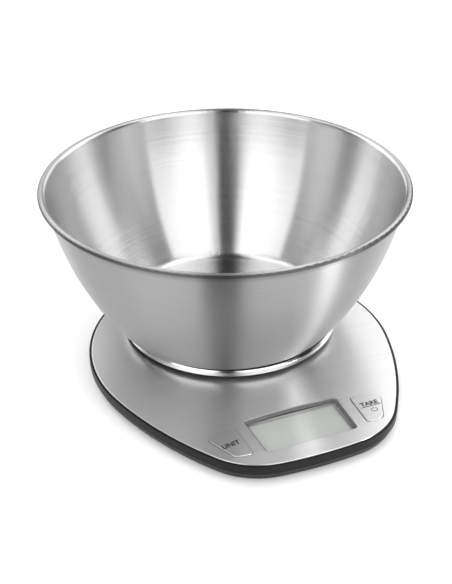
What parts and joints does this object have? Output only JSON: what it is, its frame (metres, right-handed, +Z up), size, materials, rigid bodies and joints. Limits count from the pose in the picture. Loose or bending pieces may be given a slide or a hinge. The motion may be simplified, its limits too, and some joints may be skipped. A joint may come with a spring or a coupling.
{
  "type": "kitchen scale with mixing bowl",
  "caption": "Slim electronic kitchen scale: pebble-shaped base with display window and keys, round platter on a load cell, loose stainless mixing bowl.",
  "frame": {"origin": "on the table plane, in the middle of the whole object seen from above; the platter axis stands 15.8 mm behind it", "axes": "+Z up; the display and keys are at -Y; +X to the right of a person facing the display"},
  "size_m": [0.23, 0.2662, 0.1141],
  "materials": {
    "brushed_cover": "brushed",
    "black_plastic": "satin",
    "shell_plastic": "satin",
    "foot_rubber": "matte",
    "zinc_steel": "satin",
    "clear_lens": "clear",
    "lcd_face": "satin",
    "holder_plastic": "satin",
    "strip_rubber": "matte",
    "key_metal": "brushed",
    "carrier_plastic": "satin",
    "switch_plastic": "matte",
    "board_green": "gloss",
    "chip_epoxy": "matte",
    "cell_aluminium": "satin",
    "gauge_resin": "satin",
    "coin_steel": "satin",
    "spring_brass": "satin",
    "wire_jacket": "satin",
    "polished_ring": "polished",
    "pad_rubber": "matte",
    "bowl_steel": "polished"
  },
  "bodies": {
    "base": {"top_cover": "brushed_cover", "upper_frame": "black_plastic", "bottom_shell": "shell_plastic", "rubber_feet": "foot_rubber", "case_screws": "zinc_steel", "display_lens": "clear_lens", "lcd_panel": "lcd_face", "lcd_holder": "holder_plastic", "zebra_strips": "strip_rubber", "tare_switch": "switch_plastic", "unit_switch": "switch_plastic", "main_board": "board_green", "controller_chip": "chip_epoxy", "board_components": "chip_epoxy", "board_screws": "zinc_steel", "load_cell": "cell_aluminium", "cell_spacer_fixed": "zinc_steel", "load_cell_screws": "zinc_steel", "strain_gauges": "gauge_resin", "coin_cell": "coin_steel", "battery_holder": "black_plastic", "battery_contact_positive": "spring_brass", "battery_contact_negative": "spring_brass", "signal_wires": "wire_jacket", "battery_wires": "wire_jacket"},
    "platter": {"platter_trim_ring": "polished_ring", "platter_disc": "black_plastic", "platter_disc_screws": "zinc_steel", "platter_pad": "pad_rubber", "platter_hub": "cell_aluminium", "platter_screws": "zinc_steel", "cell_spacer_free": "zinc_steel"},
    "bowl": {"bowl": "bowl_steel"},
    "tare_key": {"tare_key_cap": "key_metal", "tare_key_carrier": "carrier_plastic", "tare_switch_plunger": "switch_plastic"},
    "unit_key": {"unit_key_cap": "key_metal", "unit_key_carrier": "carrier_plastic", "unit_switch_plunger": "switch_plastic"},
    "battery_cap": {"battery_cap": "shell_plastic"}
  },
  "joints": [
    {"name": "platter_press", "type": "slide", "parent": "base", "child": "platter", "axis": [0, 0, -1], "range_m": [0, 0.0004], "stiffness_N_per_m": 122500, "springref_m": -0.0001, "deforming": ["load_cell"]},
    {"name": "bowl_lift", "type": "slide", "parent": "platter", "child": "bowl", "axis": [0, 0, 1], "range_m": [0, 0.15]},
    {"name": "tare_key_press", "type": "slide", "parent": "base", "child": "tare_key", "axis": [0, 0, -1], "range_m": [0, 0.0004], "stiffness_N_per_m": 3500, "springref_m": -0.0001},
    {"name": "unit_key_press", "type": "slide", "parent": "base", "child": "unit_key", "axis": [0, 0, -1], "range_m": [0, 0.0004], "stiffness_N_per_m": 3500, "springref_m": -0.0001},
    {"name": "battery_cap_turn", "type": "hinge", "parent": "base", "child": "battery_cap", "pos_m": [0, 0.0558, 0.002], "axis": [0, 0, -1], "range_deg": [0, 45]}
  ]
}
